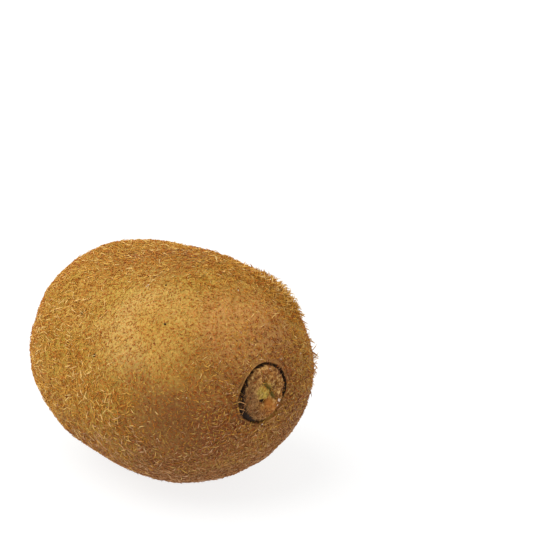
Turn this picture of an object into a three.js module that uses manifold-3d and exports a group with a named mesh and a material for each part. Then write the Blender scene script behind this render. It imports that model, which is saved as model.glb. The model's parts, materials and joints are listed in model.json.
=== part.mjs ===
// A whole kiwi fruit lying on its side, at its real size in millimetres, +Z up.
// +X points along the fruit from the blossom end to the stem end.
// The origin is at the middle of the fruit's box, on the surface that it lies on.
// The fruit grew as one piece: skin, stem scar and blossom dimple are one solid.
// The dry styles of the flower are a second solid, in the dimple at the blossom end.
import * as THREE from "three";
import { mergeVertices } from "three/addons/utils/BufferGeometryUtils.js";
import Module from "manifold-3d";

// The fruit
const LENGTH = 69;
const WIDTH = 52;
const HEIGHT = 49.4;
const END_FULLNESS = 2.73; // 2 is an ellipsoid's end, and more is blunter
const STEM_END_SWELL = 0.074; // the stem half is this share wider than the middle
const LOBE = 0.0152; // three soft lobes round the fruit, as a share of its radius
const TWIST = 0.0156; // how far the oval section turns from end to end
const LOBE_TURN = THREE.MathUtils.degToRad(27.5);
const SAG = 1.16; // the middle hangs this far below the line of the two ends
const STEM_END_LIFT = THREE.MathUtils.degToRad(2.3);
const FLAT_DEPTH = 0.42; // what its own weight flattens on the underside

// The scar where the stalk broke off: a corky cap inside a crack
const SCAR_RADIUS = 6.1;
const SCAR_OVAL = 0.055; // it is longer one way than the other by this share each side
const SCAR_TURN = THREE.MathUtils.degToRad(61);
const SCAR_PROFILE = [
  // share of the scar's radius, and rise above the fruit's own curve
  [0.1, -0.55],
  [0.22, -0.5],
  [0.33, 0.05],
  [0.5, 0.25],
  [0.7, 0.3],
  [0.86, 0.2],
  [0.93, -0.05],
  [0.97, -0.85],
  [1.03, -0.85],
  [1.09, 0.05],
  [1.18, 0.3],
  [1.35, 0.2],
  [1.65, 0],
];

// The dimple at the blossom end
const DIMPLE_RADIUS = 8;
const DIMPLE_DEPTH = 1.2;
const DIMPLE_RINGS = 5;

// The dry styles: stiff bristles in two whorls on a small hard pad
const PAD_RADIUS = 1.7;
const PAD_HEIGHT = 0.9;
const STYLE_GAP = 0.35; // clear air between the pad and the skin
const STYLE_ROOT_RADIUS = 0.3;
const STYLE_TIP_RADIUS = 0.16;
const WHORLS = [
  { count: 20, length: 3.4, lift: 12, bow: 0.5 },
  { count: 12, length: 2.4, lift: 34, bow: 0.35 },
];
const LENGTH_SPREAD = 0.22;
const ANGLE_SPREAD = 9; // degrees

// How finely the surfaces are divided
const SEGMENTS = 80;
const BODY_RINGS = 30;
const STYLE_SIDES = 4;
const STYLE_STEPS = 3;
const PAD_SIDES = 18;
const FLOOR_BLOCK = 120;
const MERGE_WITHIN = 1e-4;

const wasm = await Module();
wasm.setup();

function solidOf(geometry) {
  const bare = geometry.clone();
  bare.deleteAttribute("normal");
  bare.deleteAttribute("uv");
  const merged = mergeVertices(bare, MERGE_WITHIN);
  return new wasm.Manifold(
    new wasm.Mesh({
      numProp: 3,
      vertProperties: new Float32Array(merged.getAttribute("position").array),
      triVerts: new Uint32Array(merged.index.array),
    }),
  );
}

function geometryOf(solid) {
  const mesh = solid.getMesh();
  const geometry = new THREE.BufferGeometry();
  geometry.setAttribute("position", new THREE.BufferAttribute(mesh.vertProperties, mesh.numProp));
  geometry.setIndex(new THREE.BufferAttribute(mesh.triVerts, 1));
  geometry.computeVertexNormals();
  return geometry;
}

// Numbers from 0 to 1 in a fixed order, so that every build gives the same bristles
function seededRandom(seed) {
  let state = seed;
  return () => {
    state = (state * 16807) % 2147483647;
    return state / 2147483647;
  };
}

// A smooth fall from 1 at the middle to 0 at the edge
function dome(share) {
  const inside = Math.max(0, 1 - share * share);
  return inside * inside;
}

function stretchAround(longitude) {
  return Math.hypot((WIDTH / 2) * Math.cos(longitude), (HEIGHT / 2) * Math.sin(longitude));
}

// The angle from the stem's pole at which the skin stands a given distance from the axis
function colatitudeAt(distance, longitude, endSign) {
  const widest = stretchAround(longitude) * (1 + endSign * STEM_END_SWELL);
  return Math.asin(Math.min(1, distance / widest));
}

function scarRadius(longitude) {
  return SCAR_RADIUS * (1 + SCAR_OVAL * Math.cos(2 * (longitude - SCAR_TURN)));
}

// The skin's own curve, before the relief of its two ends
function skinPoint(colatitude, longitude) {
  const cosine = Math.cos(colatitude);
  const along = Math.sign(cosine) * Math.abs(cosine) ** (2 / END_FULLNESS);
  const around =
    1 +
    STEM_END_SWELL * along -
    LOBE * Math.cos(3 * (longitude - LOBE_TURN)) +
    TWIST * Math.cos(2 * (longitude - LOBE_TURN)) * along;
  const radius = Math.sin(colatitude) * around;
  return new THREE.Vector3(
    (LENGTH / 2) * along,
    (WIDTH / 2) * radius * Math.cos(longitude),
    (HEIGHT / 2) * radius * Math.sin(longitude) + SAG * (along * along - 0.5),
  );
}

// One vertex of the fruit: ring 0 is the stem's pole and the last ring is the blossom's
function fruitPoint(ring, rings, longitude) {
  const scarRings = SCAR_PROFILE.length;
  const lastBodyRing = rings - DIMPLE_RINGS;
  const scarEdge = colatitudeAt(
    SCAR_PROFILE[scarRings - 1][0] * scarRadius(longitude),
    longitude,
    1,
  );
  const dimpleEdge = Math.PI - colatitudeAt(DIMPLE_RADIUS, longitude, -1);
  if (ring === 0) {
    const pole = skinPoint(0, longitude);
    pole.x += SCAR_PROFILE[0][1];
    return pole;
  }
  if (ring <= scarRings) {
    const [share, rise] = SCAR_PROFILE[ring - 1];
    const point = skinPoint(colatitudeAt(share * scarRadius(longitude), longitude, 1), longitude);
    point.x += rise;
    return point;
  }
  if (ring <= lastBodyRing) {
    const share = (ring - scarRings) / (lastBodyRing - scarRings);
    return skinPoint(THREE.MathUtils.lerp(scarEdge, dimpleEdge, share), longitude);
  }
  const share = (rings - ring) / DIMPLE_RINGS;
  const point = skinPoint(
    Math.PI - colatitudeAt(share * DIMPLE_RADIUS, longitude, -1),
    longitude,
  );
  point.x += DIMPLE_DEPTH * dome(share);
  return point;
}

// A sphere whose vertices are moved onto the fruit
function fruitGeometry() {
  const rings = SCAR_PROFILE.length + BODY_RINGS + DIMPLE_RINGS;
  const sphere = new THREE.SphereGeometry(1, SEGMENTS, rings);
  const position = sphere.getAttribute("position");
  const vertex = new THREE.Vector3();
  for (let i = 0; i < position.count; i++) {
    vertex.fromBufferAttribute(position, i);
    const colatitude = Math.acos(THREE.MathUtils.clamp(vertex.y, -1, 1));
    const ring = Math.round((colatitude / Math.PI) * rings);
    const longitude = Math.atan2(vertex.x, vertex.z);
    const placed = fruitPoint(ring, rings, longitude);
    position.setXYZ(i, placed.x, placed.y, placed.z);
  }
  return sphere;
}

// The hard pad that the styles stand on, turned about the local Z
function padGeometry() {
  const profile = [
    new THREE.Vector2(0, 0),
    new THREE.Vector2(PAD_RADIUS * 0.8, 0),
    new THREE.Vector2(PAD_RADIUS, PAD_HEIGHT * 0.35),
    new THREE.Vector2(PAD_RADIUS * 0.75, PAD_HEIGHT * 0.8),
    new THREE.Vector2(0, PAD_HEIGHT),
  ];
  return new THREE.LatheGeometry(profile, PAD_SIDES).rotateX(Math.PI / 2);
}

// One bristle: a tapered stick, bowed outwards, that leaves the pad's middle
function styleGeometry(length, lift, bow, turn) {
  const stick = new THREE.CylinderGeometry(
    STYLE_TIP_RADIUS,
    STYLE_ROOT_RADIUS,
    length,
    STYLE_SIDES,
    STYLE_STEPS,
  );
  stick.translate(0, length / 2, 0);
  const position = stick.getAttribute("position");
  for (let i = 0; i < position.count; i++) {
    const share = position.getY(i) / length;
    position.setX(i, position.getX(i) + bow * share * share);
  }
  stick.rotateZ(lift - Math.PI / 2);
  stick.rotateX(Math.PI / 2);
  stick.translate(PAD_RADIUS * 0.45, 0, PAD_HEIGHT * 0.55);
  return stick.rotateZ(turn);
}

// The pad and all its bristles as one solid
function stylesSolid() {
  const random = seededRandom(20240517);
  let joined = solidOf(padGeometry());
  for (const whorl of WHORLS) {
    for (let i = 0; i < whorl.count; i++) {
      const spread = 1 + LENGTH_SPREAD * (2 * random() - 1);
      const sway = ANGLE_SPREAD * (2 * random() - 1);
      const lift = THREE.MathUtils.degToRad(whorl.lift + ANGLE_SPREAD * (2 * random() - 1) * 0.5);
      const turn = (2 * Math.PI * i) / whorl.count + THREE.MathUtils.degToRad(sway);
      const style = styleGeometry(whorl.length * spread, lift, whorl.bow, turn);
      joined = joined.add(solidOf(style));
    }
  }
  return joined;
}

// Everything is placed on the level fruit first, and then tipped as it lies
function tipped(geometry) {
  return geometry.rotateY(-STEM_END_LIFT);
}

function lowestOf(geometry) {
  geometry.computeBoundingBox();
  return geometry.boundingBox.min.z;
}

const uncut = tipped(fruitGeometry());
const restingHeight = lowestOf(uncut) + FLAT_DEPTH;
const floorBlock = new THREE.BoxGeometry(FLOOR_BLOCK, FLOOR_BLOCK, FLOOR_BLOCK);
floorBlock.translate(0, 0, restingHeight - FLOOR_BLOCK / 2);
const fruitBody = geometryOf(solidOf(uncut).subtract(solidOf(floorBlock)));

const dimpleFloor = skinPoint(Math.PI, 0);
dimpleFloor.x += DIMPLE_DEPTH;
const styles = geometryOf(stylesSolid());
styles.rotateY(-Math.PI / 2);
styles.translate(dimpleFloor.x - STYLE_GAP, 0, dimpleFloor.z);
tipped(styles);

const fruit = new THREE.Mesh(
  fruitBody,
  new THREE.MeshStandardMaterial({ color: 0xa06f33, roughness: 0.85, metalness: 0 }),
);
fruit.name = "fruit";

const driedStyles = new THREE.Mesh(
  styles,
  new THREE.MeshStandardMaterial({ color: 0x2e1c12, roughness: 0.9, metalness: 0 }),
);
driedStyles.name = "dried_styles";

const kiwi = new THREE.Group();
kiwi.add(fruit, driedStyles);
const box = new THREE.Box3().setFromObject(kiwi);
const centre = box.getCenter(new THREE.Vector3());
kiwi.position.set(-centre.x, -centre.y, -restingHeight);

export default kiwi;
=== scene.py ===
# %% [markdown]
# # A kiwi fruit lying on its side
#
# The fruit is one grown piece: an oval berry in a thin, dull brown skin.
# Short stiff hairs cover the skin. At one end is the scar where the stalk broke off.
# At the other end the dry styles of the flower stand in a small dimple.
# The CAD model gives the exact form. This script adds what the eye reads as kiwi:
# the blotched skin, the cork of the scar, and thousands of real hairs.

# %% Load the frame
import itertools
import json
import math

import bpy
import numpy as np
from mathutils import Matrix, Vector

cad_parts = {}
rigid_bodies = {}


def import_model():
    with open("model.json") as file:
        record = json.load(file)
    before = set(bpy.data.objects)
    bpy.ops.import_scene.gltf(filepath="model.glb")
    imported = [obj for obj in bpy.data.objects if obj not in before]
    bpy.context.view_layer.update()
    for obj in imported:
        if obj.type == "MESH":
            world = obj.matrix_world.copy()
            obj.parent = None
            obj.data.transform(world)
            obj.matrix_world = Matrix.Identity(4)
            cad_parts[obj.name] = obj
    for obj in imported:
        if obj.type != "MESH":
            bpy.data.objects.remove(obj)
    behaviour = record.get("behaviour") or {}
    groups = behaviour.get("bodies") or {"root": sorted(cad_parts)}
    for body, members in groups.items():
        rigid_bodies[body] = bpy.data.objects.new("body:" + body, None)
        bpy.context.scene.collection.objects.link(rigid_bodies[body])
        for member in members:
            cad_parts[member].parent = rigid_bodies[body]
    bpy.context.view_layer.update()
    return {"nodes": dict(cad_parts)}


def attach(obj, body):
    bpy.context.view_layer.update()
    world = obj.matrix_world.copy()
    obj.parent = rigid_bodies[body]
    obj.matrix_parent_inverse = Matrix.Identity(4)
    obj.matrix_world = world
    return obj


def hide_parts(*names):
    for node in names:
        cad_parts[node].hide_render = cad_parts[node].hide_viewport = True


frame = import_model()
MM = 0.001

# %% [markdown]
# ## The camera
#
# The picture was taken from a little above, towards the stem end.
# A long lens far away keeps the outline true. The angles, the distance and the lens
# come from fitting the fruit's outline, so they are plain numbers here.
# The fruit stands low and to the left of the lens axis, as in the picture.

# %% Camera
CAMERA_AZIMUTH = math.radians(51.46)
CAMERA_ELEVATION = math.radians(19.42)
CAMERA_DISTANCE = 566.1 * MM
FRUIT_MIDDLE = Vector((0.54, 0.06, 24.44)) * MM
AXIS_PASSES_RIGHT = 21.86 * MM
AXIS_PASSES_ABOVE = 19.39 * MM
LENS_MM = 175.5
SENSOR_MM = 36.0
NEAREST_SEEN = 10 * MM

back = Vector(
    (
        math.sin(CAMERA_AZIMUTH) * math.cos(CAMERA_ELEVATION),
        -math.cos(CAMERA_AZIMUTH) * math.cos(CAMERA_ELEVATION),
        math.sin(CAMERA_ELEVATION),
    )
)
right = Vector((math.cos(CAMERA_AZIMUTH), math.sin(CAMERA_AZIMUTH), 0))
above = back.cross(right)
bpy.ops.object.select_all(action="DESELECT")
bpy.ops.object.camera_add(
    location=FRUIT_MIDDLE
    + back * CAMERA_DISTANCE
    + right * AXIS_PASSES_RIGHT
    + above * AXIS_PASSES_ABOVE,
    rotation=Matrix((right, above, back)).transposed().to_euler(),
)
camera = bpy.context.object
camera.name = "camera"
camera.data.lens = LENS_MM
camera.data.sensor_width = SENSOR_MM
camera.data.clip_start = NEAREST_SEEN
bpy.context.scene.camera = camera
print("camera at mm:", [round(c / MM) for c in camera.location])

# %% [markdown]
# ## Colours and nodes
#
# Colours are picked as sRGB hex values, because that is how they are seen on a screen.
# Cycles mixes light in linear values, so one function turns each of them.
# A second function adds a node, sets it and links it. Every material below uses it.


# %% Colour and node helpers
def linear(hex_colour):
    """An sRGB hex colour as a linear colour with full alpha."""
    shares = [int(hex_colour[i : i + 2], 16) / 255 for i in (1, 3, 5)]
    return [s / 12.92 if s <= 0.04045 else ((s + 0.055) / 1.055) ** 2.4 for s in shares] + [1]


def add_node(material, kind, sockets=None, stops=None, **settings):
    """Adds a node. A socket takes a value or another node's output; stops fill its ramp."""
    made = material.node_tree.nodes.new(kind)
    for name, value in settings.items():
        setattr(made, name, value)
    for socket, value in (sockets or {}).items():
        if isinstance(value, bpy.types.NodeSocket):
            material.node_tree.links.new(value, made.inputs[socket])
        else:
            made.inputs[socket].default_value = value
    for number, (place, colour) in enumerate(stops or []):
        ramp = made.color_ramp.elements
        stop = ramp[number] if number < 2 else ramp.new(place)
        stop.position = place
        stop.color = linear(colour)
    return made


def new_material(name, roughness, ior, gloss=0.5):
    """A material and its Principled shader, with its constants set on the shader itself."""
    material = bpy.data.materials.new(name)
    material.use_nodes = True
    shader = material.node_tree.nodes["Principled BSDF"]
    shader.inputs["Roughness"].default_value = roughness
    shader.inputs["IOR"].default_value = ior
    shader.inputs["Specular IOR Level"].default_value = gloss
    return material, shader


# %% [markdown]
# ## The floor and the light
#
# The fruit lies on plain white. The main light comes from high on the left,
# from a very wide source, so the left shoulder is brightest and nothing shines hard.
# A wide sun lamp lights the whole floor evenly, as a big studio ceiling light does.
# A white sky fills the rest. The white table glows a little, as a lit product table does,
# so the shadow stays faint and the underside gets some light.

# %% Floor and lights
FLOOR_SIZE = 8.0
KEY_DIRECTION = Vector((-0.26, -0.42, 0.87))
KEY_STRENGTH = 2.65
KEY_WIDTH = math.radians(60)
SKY_STRENGTH = 0.64
TABLE_GLOW = 0.83

bpy.ops.object.select_all(action="DESELECT")
bpy.ops.mesh.primitive_plane_add(size=FLOOR_SIZE)
floor = bpy.context.object
floor.name = "floor"
floor_acrylic, floor_shader = new_material("frosted_acrylic", roughness=0.9, ior=1.49)
floor_shader.inputs["Base Color"].default_value = linear("#747473")
floor_shader.inputs["Emission Color"].default_value = linear("#FFFFFF")
floor_shader.inputs["Emission Strength"].default_value = TABLE_GLOW
floor.data.materials.append(floor_acrylic)

bpy.ops.object.light_add(type="SUN", rotation=KEY_DIRECTION.to_track_quat("Z", "Y").to_euler())
key_light = bpy.context.object
key_light.name = "ceiling_light"
key_light.data.energy = KEY_STRENGTH
key_light.data.angle = KEY_WIDTH

sky = bpy.data.worlds.new("pale_sky")
bpy.context.scene.world = sky
sky.use_nodes = True
sky.node_tree.nodes["Background"].inputs["Color"].default_value = linear("#FFFFFF")
sky.node_tree.nodes["Background"].inputs["Strength"].default_value = SKY_STRENGTH
bpy.context.scene.view_settings.view_transform = "Standard"
print("floor, ceiling light and sky are in place")

# %% [markdown]
# ## The skin
#
# The skin is modelled on a copy of the CAD solid, so that its form stays exact.
# The copy's loose triangles are merged and paired into four-sided faces.
# Two levels of subdivision then give faces of about half a millimetre,
# fine enough to carry the low lumps of the flesh and the cork of the scar.


# %% Copy and refine the CAD fruit
def select_only(thing):
    """Deselects everything, then selects one object and makes it active."""
    bpy.ops.object.select_all(action="DESELECT")
    thing.select_set(True)
    bpy.context.view_layer.objects.active = thing


def read_points(mesh):
    """The mesh's points as an array, in millimetres."""
    flat = np.empty(len(mesh.vertices) * 3, np.float32)
    mesh.vertices.foreach_get("co", flat)
    return flat.reshape(-1, 3).astype(float) / MM


def write_points(mesh, points):
    """Puts an array of points in millimetres back into the mesh."""
    mesh.vertices.foreach_set("co", (points * MM).astype(np.float32).ravel())
    mesh.update()


def read_normals(mesh):
    """The direction that the surface faces at each point."""
    flat = np.empty(len(mesh.vertices) * 3, np.float32)
    mesh.vertex_normals.foreach_get("vector", flat)
    return flat.reshape(-1, 3).astype(float)


MERGE_MM = 0.001
SKIN_LEVELS = 2

select_only(frame["nodes"]["fruit"])
bpy.ops.object.duplicate()
skin = bpy.context.object
skin.name = "skin"
bpy.ops.object.parent_clear(type="CLEAR_KEEP_TRANSFORM")
bpy.ops.object.transform_apply(location=True, rotation=True, scale=True)
bpy.ops.object.mode_set(mode="EDIT")
bpy.ops.mesh.select_all(action="SELECT")
bpy.ops.mesh.remove_doubles(threshold=MERGE_MM * MM)
bpy.ops.mesh.tris_convert_to_quads()
bpy.ops.object.mode_set(mode="OBJECT")
subdivision = skin.modifiers.new("finer faces", "SUBSURF")
subdivision.levels = SKIN_LEVELS
subdivision.render_levels = SKIN_LEVELS
bpy.ops.object.modifier_apply(modifier=subdivision.name)
bpy.ops.object.shade_smooth()
print("skin faces:", len(skin.data.polygons))

# %% [markdown]
# ## Where things are on the fruit
#
# The colours and the hairs follow places on the fruit, not the camera.
# A soft spot is a ball in space with a blurred edge: it is 1 inside and 0 outside.
# A ripple is a smooth, uneven wave that breaks up what would look too regular.
# The scar has its own flat coordinates, as if one looked straight at the stem end.
# Its middle, size and turn are those of the crack in the CAD solid, in millimetres.

# %% Places on the fruit
POLE = np.array([34.95, 0.06, 26.42])
TIP_UP = math.radians(2.3)
SCAR_RADIUS = 6.1
SCAR_OVAL = 0.055
SCAR_TURN = math.radians(61)
FRUIT_WIDTH = 52
FRUIT_HEIGHT = 49.4
HEIGHT_TO_WIDTH = FRUIT_HEIGHT / FRUIT_WIDTH
PAST_ALL_RINGS = 9
WAVE_STRETCH = (0.7, 1.5)


def smooth_step(value, low, high):
    """0 below low, 1 above high, and a soft slope between them."""
    share = np.clip((value - low) / (high - low), 0, 1)
    return share * share * (3 - 2 * share)


def soft_spot(points, centre, radius, blur):
    """1 within the radius of a centre, falling to 0 over the blur, all in millimetres."""
    distance = np.linalg.norm(points - np.array(centre), axis=1)
    return 1 - smooth_step(distance, radius - blur / 2, radius + blur / 2)


def ripple(points, wavelength, seed, waves=9):
    """A smooth uneven wave between about -1 and 1."""
    random = np.random.default_rng(seed)
    total = np.zeros(len(points))
    for _ in range(waves):
        direction = random.normal(size=3)
        direction /= np.linalg.norm(direction)
        stretch = random.uniform(*WAVE_STRETCH)
        turn = points @ direction * (2 * math.pi * stretch / wavelength)
        total += np.sin(turn + random.uniform(0, 2 * math.pi))
    return total / math.sqrt(waves)


def scar_place(points):
    """For each point: across, up, share of the scar's radius, angle, and 1 near the stem end."""
    off = points - POLE
    across = off[:, 1]
    up = off[:, 2] * math.cos(TIP_UP) - off[:, 0] * math.sin(TIP_UP)
    angle = np.arctan2(up / HEIGHT_TO_WIDTH, across)
    radius = SCAR_RADIUS * (1 + SCAR_OVAL * np.cos(2 * (angle - SCAR_TURN)))
    near = (points[:, 0] > 0).astype(float)
    share = np.hypot(across, up) / radius + PAST_ALL_RINGS * (1 - near)
    return across, up, share, angle, near


def angle_bump(angle, middle_degrees, width_degrees):
    """1 at one angle round the scar, falling away on both sides."""
    away = np.angle(np.exp(1j * (angle - math.radians(middle_degrees))))
    return np.exp(-((away / math.radians(width_degrees)) ** 2))


points = read_points(skin.data)
print("skin spans mm:", np.ptp(points, axis=0).round(1))

# %% [markdown]
# ## The parts of the scar
#
# The stalk broke off here. It left a round cap of cork inside a crack, with a dry lip outside.
# The crack stands open on the left, and new skin nearly closes it on the lower right.
# Each part is a share from 0 to 1 for every point of the skin, so that the same numbers
# can move the points and colour them. Rings are read by the share of the scar's radius,
# and sides by the angle round it: a middle and a width in degrees, counted from the far side
# upwards. A small wobble makes them as uneven as a real break. A wobble is a height
# and a wavelength in millimetres.

# %% Cap, crack and lip
SLOW_WOBBLE = (0.014, 3.5)
QUICK_WOBBLE = (0.013, 1.0)
CAP_EDGE = (0.9, 0.96)
SCAR_EDGE = (1.05, 1.3)
CLOSED_SIDE = (291, 24)
HALF_CLOSED_SIDE = (326, 16)
HALF_CLOSED = 0.6
OPEN_SIDE = (195, 68)
OPEN_WIDENS = 0.065
FAR_SIDE = (5, 32)
FAR_WIDENS_INWARDS = 0.03
FAR_WIDENS_OUTWARDS = 0.06
CRACK_FROM = 0.915
CRACK_TO = 1.0
CRACK_EDGE = 0.035
CRACK_OUTER_EDGE = 0.04
OUTER_LINE = (1.11, 0.028)
RIM = (1.065, 0.022)
SLOPE_START = (0.74, 0.9)
SECOND_CRACK = (1.21, 0.03)
SECOND_CRACK_WAVES = 5
SECOND_CRACK_SWAY = 0.02
SECOND_CRACK_SIDE = (20, 42)


def wobble(height, wavelength, seed):
    """A ripple of a given height at each point of the skin."""
    return height * ripple(points, wavelength, seed)


def ring_line(ring, middle, width):
    """1 on a thin ring round the scar, falling away inwards and outwards."""
    return np.exp(-(((ring - middle) / width) ** 2))


def ring_band(ring, start, end):
    """1 on a broad ring round the scar, rising over its start and falling over its end."""
    return smooth_step(ring, *start) * (1 - smooth_step(ring, *end))


across, up, share, angle, near = scar_place(points)
ring_share = share + wobble(*SLOW_WOBBLE, seed=5) + wobble(*QUICK_WOBBLE, seed=7)
on_cap = 1 - smooth_step(ring_share, *CAP_EDGE)
on_scar = 1 - smooth_step(ring_share, *SCAR_EDGE)
closed = angle_bump(angle, *CLOSED_SIDE) + HALF_CLOSED * angle_bump(angle, *HALF_CLOSED_SIDE)
closed = np.clip(closed, 0, 1)
wide = angle_bump(angle, *OPEN_SIDE)
far_side = angle_bump(angle, *FAR_SIDE)
crack_inside = CRACK_FROM - OPEN_WIDENS * wide - FAR_WIDENS_INWARDS * far_side
crack_outside = CRACK_TO + FAR_WIDENS_OUTWARDS * far_side
in_crack = ring_band(
    ring_share,
    (crack_inside, crack_inside + CRACK_EDGE),
    (crack_outside, crack_outside + CRACK_OUTER_EDGE),
)
outer_line = ring_line(ring_share, *OUTER_LINE) * wide
inner_slope = ring_band(share, SLOPE_START, CAP_EDGE) * wide
rim = ring_line(ring_share, *RIM) * (1 - closed)
sway = SECOND_CRACK_SWAY * np.sin(SECOND_CRACK_WAVES * angle)
second_crack = ring_line(share - sway, *SECOND_CRACK) * angle_bump(angle, *SECOND_CRACK_SIDE)
print("points on the cap:", int((on_cap * near > 0.5).sum()))
print("points in the crack:", int((in_crack * near > 0.5).sum()))

# %% [markdown]
# The cap's cork dried round a small green heart, where the stalk's veins ran in.
# A crease runs through the heart, with a dark hole at its foot and a hollow beside it.
# Fine stripes cross the left of the cap and follow its edge.
# They are given in the scar's own coordinates, in millimetres from its middle.

# %% Heart, crease, hole and stripes
HEART = (-0.1, 0.55)
HEART_REACH = (2.35, 2.1)
CREASE = ((0.3, 2.0), (1.55, 0.7), (2.5, -1.2))
CREASE_WIDTH = 0.4
HOLE = (-0.25, -1.6)
HOLE_REACH = (0.8, 0.42)
HOLLOW = (2.3, 0.6)
HOLLOW_REACH = (0.9, 1.7)
HEART_WOBBLE = (0.16, 2.2)
HEART_EDGE = (0.6, 1.0)
STRIPES_ACROSS = 26
STRIPE_WOBBLE = (2.2, 3.2)
STRIPES_FROM = (0.3, 0.6)
STRIPED_SIDE = (215, 50)
STRIPES_ELSEWHERE = 0.35


def line_distance(start, end):
    """How far each point of the scar is from a straight line between two places."""
    start, end = np.array(start), np.array(end)
    place = np.stack([across, up], 1)
    along = np.clip((place - start) @ (end - start) / ((end - start) @ (end - start)), 0, 1)
    return np.linalg.norm(place - start - along[:, None] * (end - start), axis=1)


def oval_distance(middle, reach):
    """How far each point of the scar is from a place, as a share of an oval's reach."""
    return np.hypot((across - middle[0]) / reach[0], (up - middle[1]) / reach[1])


heart_distance = oval_distance(HEART, HEART_REACH) + wobble(*HEART_WOBBLE, seed=8)
in_heart = 1 - smooth_step(heart_distance, *HEART_EDGE)
crease_distance = np.minimum(line_distance(*CREASE[:2]), line_distance(*CREASE[1:]))
crease = np.exp(-((crease_distance / CREASE_WIDTH) ** 2)) * on_cap
hole = np.exp(-(oval_distance(HOLE, HOLE_REACH) ** 2)) * on_cap
hollow = np.exp(-(oval_distance(HOLLOW, HOLLOW_REACH) ** 2)) * on_cap
striped = np.clip(angle_bump(angle, *STRIPED_SIDE) + STRIPES_ELSEWHERE, 0, 1)
stripes = np.sin(STRIPES_ACROSS * share + wobble(*STRIPE_WOBBLE, seed=6)) * on_cap
stripes *= smooth_step(share, *STRIPES_FROM) * striped
print("points in the heart:", int((in_heart * on_cap * near > 0.5).sum()))

# %% [markdown]
# ## Lumps, grain and cork
#
# The CAD form is the outside of the hairy coat, so the skin lies a little under it.
# A ripe fruit isn't a perfect oval: low lumps cross it, about a tenth of a millimetre high.
# All of this is real form. The skin's points move along their own normals, and the
# scar's points move along the fruit's axis, because the scar faces that way.
# New skin fills the outer wall of the crack, so that it stays a thin line, and lifts its floor
# where it is closed. Where it stands open, the lip sinks instead.

# %% Raise and sink the skin
COAT_DEPTH = 0.2
LUMPS = (0.12, 13)
GRAIN = (0.05, 3.2)
CORK = (0.2, 1.7)
FOLD_HEIGHT = 0.14
FOLDS_ROUND = 17
FOLD_WOBBLE = (2, 4)
FOLDS_FROM = (0.35, 0.8)
HEART_RISE = 0.45
CREASE_DEPTH = 0.55
HOLE_DEPTH = 0.75
HOLLOW_DEPTH = 0.3
STRIPE_HEIGHT = 0.07
CLOSED_CRACK_RISE = 0.6
SECOND_CRACK_DEPTH = 0.25
CRACK_FILL = 0.45
OUTER_LINE_DEPTH = 0.2
LIP_SINK = 0.3
LIP_RING = ((1.0, 1.1), (1.3, 1.6))
FILL_RING = ((1.0, 1.035), (1.06, 1.1))
FAR_EDGE_SINK = 0.22
FAR_EDGE_SIDE = (352, 30)
FAR_EDGE_FROM = (0.7, 0.95)

normals = read_normals(skin.data)
lumps = wobble(*LUMPS, seed=1) - COAT_DEPTH + wobble(*GRAIN, seed=2)
lumps *= 1 - on_scar
folds = np.abs(np.sin(FOLDS_ROUND / 2 * angle + wobble(*FOLD_WOBBLE, seed=3)))
cork = wobble(*CORK, seed=4)
cork += FOLD_HEIGHT * folds * smooth_step(share, *FOLDS_FROM)
cork += HEART_RISE * in_heart - CREASE_DEPTH * crease - HOLE_DEPTH * hole
cork += STRIPE_HEIGHT * stripes - HOLLOW_DEPTH * hollow
near_lip = ring_band(share, *LIP_RING)
outer_fill = ring_band(share, *FILL_RING)
far_edge = angle_bump(angle, *FAR_EDGE_SIDE) * on_cap * smooth_step(share, *FAR_EDGE_FROM)
rise = on_cap * cork + CLOSED_CRACK_RISE * in_crack * closed
rise += CRACK_FILL * outer_fill - SECOND_CRACK_DEPTH * second_crack
rise -= OUTER_LINE_DEPTH * outer_line + LIP_SINK * wide * near_lip + FAR_EDGE_SINK * far_edge
rise *= near

points += normals * lumps[:, None]
points[:, 0] += rise
points[:, 2] = np.maximum(points[:, 2], 0)
write_points(skin.data, points)
print("the scar rises and sinks mm:", rise.min().round(2), rise.max().round(2))

# %% [markdown]
# ## Regions of the skin
#
# Handling wears the hairs off the fullest parts, and they stand thickest in bands between them.
# A region is a table of soft spots: a middle, a radius and a blur in millimetres, and a weight.
# They were placed one spot for each patch that can be seen, and a few on the far side.
# The same regions steer the skin's tone and the hairs, because on a fruit they go together.

# %% Regions of the skin
WORN_SPOTS = [
    ((18, -18, 39), 12, 13, 1.0),
    ((28.5, -16.5, 23.5), 8, 8, 1.0),
    ((31, -1, 40), 9, 9, 1.0),
    ((-10, 14, 44), 10, 14, 0.8),
    ((2, 25, 18), 11, 14, 0.8),
    ((26, 19, 32), 5, 5, 0.9),
    ((29, 18, 22), 6, 6, 0.6),
    ((27, -19, 22), 7, 6, 0.8),
]
RUBBED_SPOT = ((27, -19, 22), 7, 6)
FRINGE_SPOT = ((20, 16, 41), 7, 7)
THICK_SPOTS = [
    ((9, -25, 28), 10, 13, 1.0),
    ((21, -20, 12), 11, 10, 1.0),
    ((16, 3, 48), 8, 9, 0.5),
    ((-24, 8, 30), 14, 12, 1.0),
]


def add_spots(places, spots):
    """The sum of a table's soft spots, each times its weight."""
    total = np.zeros(len(places))
    for middle, radius, blur, weight in spots:
        total += weight * soft_spot(places, middle, radius, blur)
    return total


def worn(places):
    """1 where handling has worn the long hairs away."""
    return np.clip(add_spots(places, WORN_SPOTS), 0, 1)


def rubbed_smooth(places):
    """1 on the lower front, where even the stubble is mostly gone."""
    return soft_spot(places, *RUBBED_SPOT)


def thick(places):
    """1 where the long hairs stand thickest."""
    return np.clip(add_spots(places, THICK_SPOTS), 0, 1)


def fringe(places):
    """1 on the shoulder behind the stem end, where long pale hairs stand up."""
    return soft_spot(places, *FRINGE_SPOT)


print("share of points that are worn:", round(float(worn(points).mean()), 2))
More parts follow.
